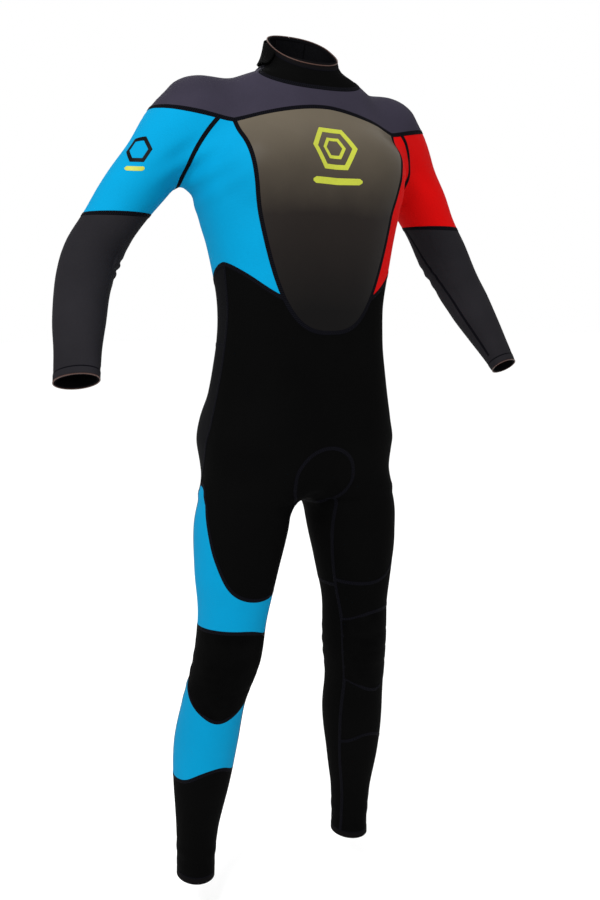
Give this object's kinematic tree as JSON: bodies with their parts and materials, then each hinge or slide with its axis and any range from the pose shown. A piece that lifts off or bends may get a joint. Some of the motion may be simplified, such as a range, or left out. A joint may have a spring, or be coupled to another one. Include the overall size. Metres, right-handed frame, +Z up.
{
  "type": "full wetsuit",
  "caption": "Full-length back-zip wetsuit standing as worn, in seamed panels with a hook-and-loop collar, knee pads and bending elbows and knees.",
  "frame": {"origin": "centre of the collar's rim, where the neck passes through", "axes": "+Z up along the body, -Y the way the wearer faces, +X to the wearer's left"},
  "size_m": [0.8564, 0.2604, 1.4687],
  "materials": {
    "cyan_jersey": "matt knitted jersey on foamed neoprene",
    "red_jersey": "matt knitted jersey on foamed neoprene",
    "charcoal_jersey": "matt knitted jersey with a faint heather",
    "black_jersey": "matt knitted jersey on foamed neoprene",
    "smooth_skin": "soft gloss, finely ribbed smooth-skin neoprene",
    "knee_coating": "abrasion-resistant matt coating",
    "bound_edge": "folded and overlocked edge",
    "hook_tape": "stiff hook tape",
    "loop_tape": "brushed loop tape",
    "zip_tape": "woven tape",
    "moulded_plastic": "moulded",
    "slider_metal": "satin"
  },
  "bodies": {
    "suit": {"front_panel": "black_jersey", "crotch_gusset": "charcoal_jersey", "seat_panel": "charcoal_jersey", "thigh_panel_left": "black_jersey", "thigh_panel_right": "cyan_jersey", "back_panel_right": "charcoal_jersey", "chest_panel": "smooth_skin", "back_panel_left": "charcoal_jersey", "side_panel_right": "cyan_jersey", "side_panel_left": "red_jersey", "inner_thigh_right": "charcoal_jersey", "thigh_back_right": "charcoal_jersey", "knee_pad_right": "knee_coating", "knee_back_right": "charcoal_jersey", "knee_side_right": "cyan_jersey", "thigh_back_left": "charcoal_jersey", "inner_thigh_left": "charcoal_jersey", "knee_pad_left": "knee_coating", "knee_back_left": "charcoal_jersey", "knee_side_left": "black_jersey", "upper_sleeve_right": "cyan_jersey", "upper_sleeve_left": "red_jersey", "shoulder_yoke": "charcoal_jersey", "collar": "charcoal_jersey", "elbow_section_right": "charcoal_jersey", "elbow_section_left": "charcoal_jersey", "collar_binding": "bound_edge", "zip_tape_right": "zip_tape", "zip_teeth_right": "moulded_plastic", "zip_tape_left": "zip_tape", "zip_teeth_left": "moulded_plastic", "zip_inner_flap": "black_jersey", "zip_top_stop": "slider_metal", "zip_bottom_stop": "slider_metal", "collar_loop_patch": "loop_tape"},
    "forearm_right": {"forearm_sleeve_right": "charcoal_jersey", "wrist_hem_right": "bound_edge"},
    "shin_right": {"shin_panel_right": "cyan_jersey", "calf_panel_right": "charcoal_jersey", "lower_leg_right": "black_jersey", "ankle_hem_right": "bound_edge"},
    "forearm_left": {"forearm_sleeve_left": "charcoal_jersey", "wrist_hem_left": "bound_edge"},
    "shin_left": {"shin_panel_left": "black_jersey", "calf_panel_left": "charcoal_jersey", "lower_leg_left": "black_jersey", "ankle_hem_left": "bound_edge"},
    "zip_slider": {"zip_slider": "slider_metal"},
    "zip_pull": {"zip_pull": "moulded_plastic"},
    "collar_flap": {"collar_flap": "black_jersey", "collar_hook_patch": "hook_tape"}
  },
  "joints": [
    {"name": "elbow_right", "type": "hinge", "parent": "suit", "child": "forearm_right", "pos_m": [-0.345, 0.061, -0.329], "axis": [-0.7543, -0.4582, 0.4702], "range_deg": [-25, 70], "stiffness_Nm_per_rad": 1, "deforming": ["elbow_section_right"]},
    {"name": "elbow_left", "type": "hinge", "parent": "suit", "child": "forearm_left", "pos_m": [0.345, 0.061, -0.329], "axis": [-0.7543, 0.4582, -0.4702], "range_deg": [-25, 70], "stiffness_Nm_per_rad": 1, "deforming": ["elbow_section_left"]},
    {"name": "knee_right", "type": "hinge", "parent": "suit", "child": "shin_right", "pos_m": [-0.131, 0.043, -1.028], "axis": [1, 0, 0], "range_deg": [0, 85], "stiffness_Nm_per_rad": 2, "deforming": ["knee_pad_right", "knee_side_right", "knee_back_right"]},
    {"name": "knee_left", "type": "hinge", "parent": "suit", "child": "shin_left", "pos_m": [0.131, 0.043, -1.028], "axis": [1, 0, 0], "range_deg": [0, 85], "stiffness_Nm_per_rad": 2, "deforming": ["knee_pad_left", "knee_side_left", "knee_back_left"]},
    {"name": "zip_slide", "type": "slide", "parent": "suit", "child": "zip_slider", "axis": [0, -0.0422, -0.9991], "range_m": [0, 0.31]},
    {"name": "zip_pull_swing", "type": "hinge", "parent": "zip_slider", "child": "zip_pull", "pos_m": [0, 0.11872, -0.12558], "axis": [1, 0, 0], "range_deg": [0, 150]},
    {"name": "collar_flap_peel", "type": "hinge", "parent": "suit", "child": "collar_flap", "pos_m": [0.01278, 0.06198, 0.00124], "axis": [0.0381, 0.3758, -0.9259], "range_deg": [0, 100]}
  ]
}
